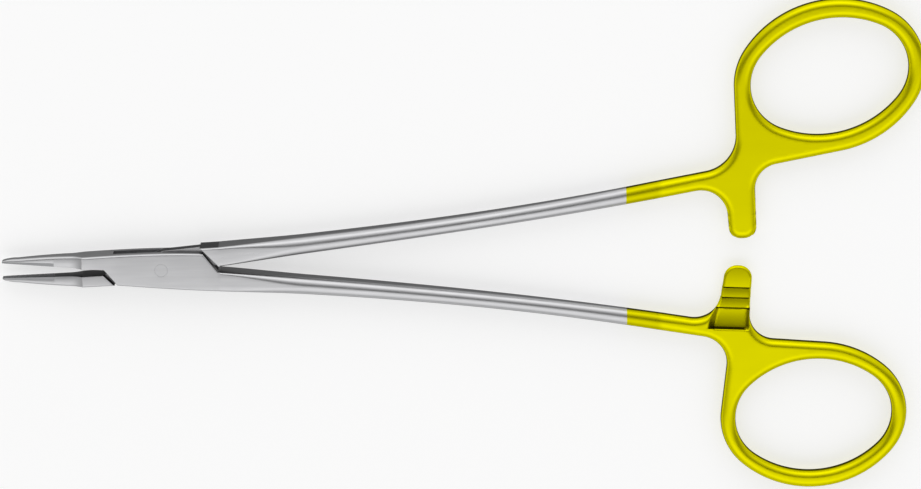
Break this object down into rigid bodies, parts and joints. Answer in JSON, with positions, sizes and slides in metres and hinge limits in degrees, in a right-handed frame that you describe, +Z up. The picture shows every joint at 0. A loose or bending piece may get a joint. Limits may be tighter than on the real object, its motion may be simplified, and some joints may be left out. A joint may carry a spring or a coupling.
{
  "type": "surgical needle holder",
  "caption": "Surgical needle holder with a box lock, slim carbide-faced jaws, ratchet arms and plated finger rings, lying slightly open.",
  "frame": {"origin": "on the axis of the lock's pin, at the flat back face of the lock", "axes": "+Z up out of the front face along the pin's axis, +X along the instrument from the lock towards the finger rings, +Y towards the ring of the male half"},
  "size_m": [0.179, 0.0983, 0.0052],
  "materials": {
    "satin_steel": "satin stainless steel, with yellow plating on the handles",
    "carbide": "ground carbide with a cross-cut grip face"
  },
  "bodies": {
    "female": {"female_half": "satin_steel", "joint_pin": "satin_steel", "upper_insert": "carbide"},
    "male": {"male_half": "satin_steel", "lower_insert": "carbide"}
  },
  "joints": [
    {"name": "lock_pivot", "type": "hinge", "parent": "female", "child": "male", "pos_m": [0, 0, 0], "axis": [0, 0, 1], "range_deg": [-5.3, 32]}
  ]
}
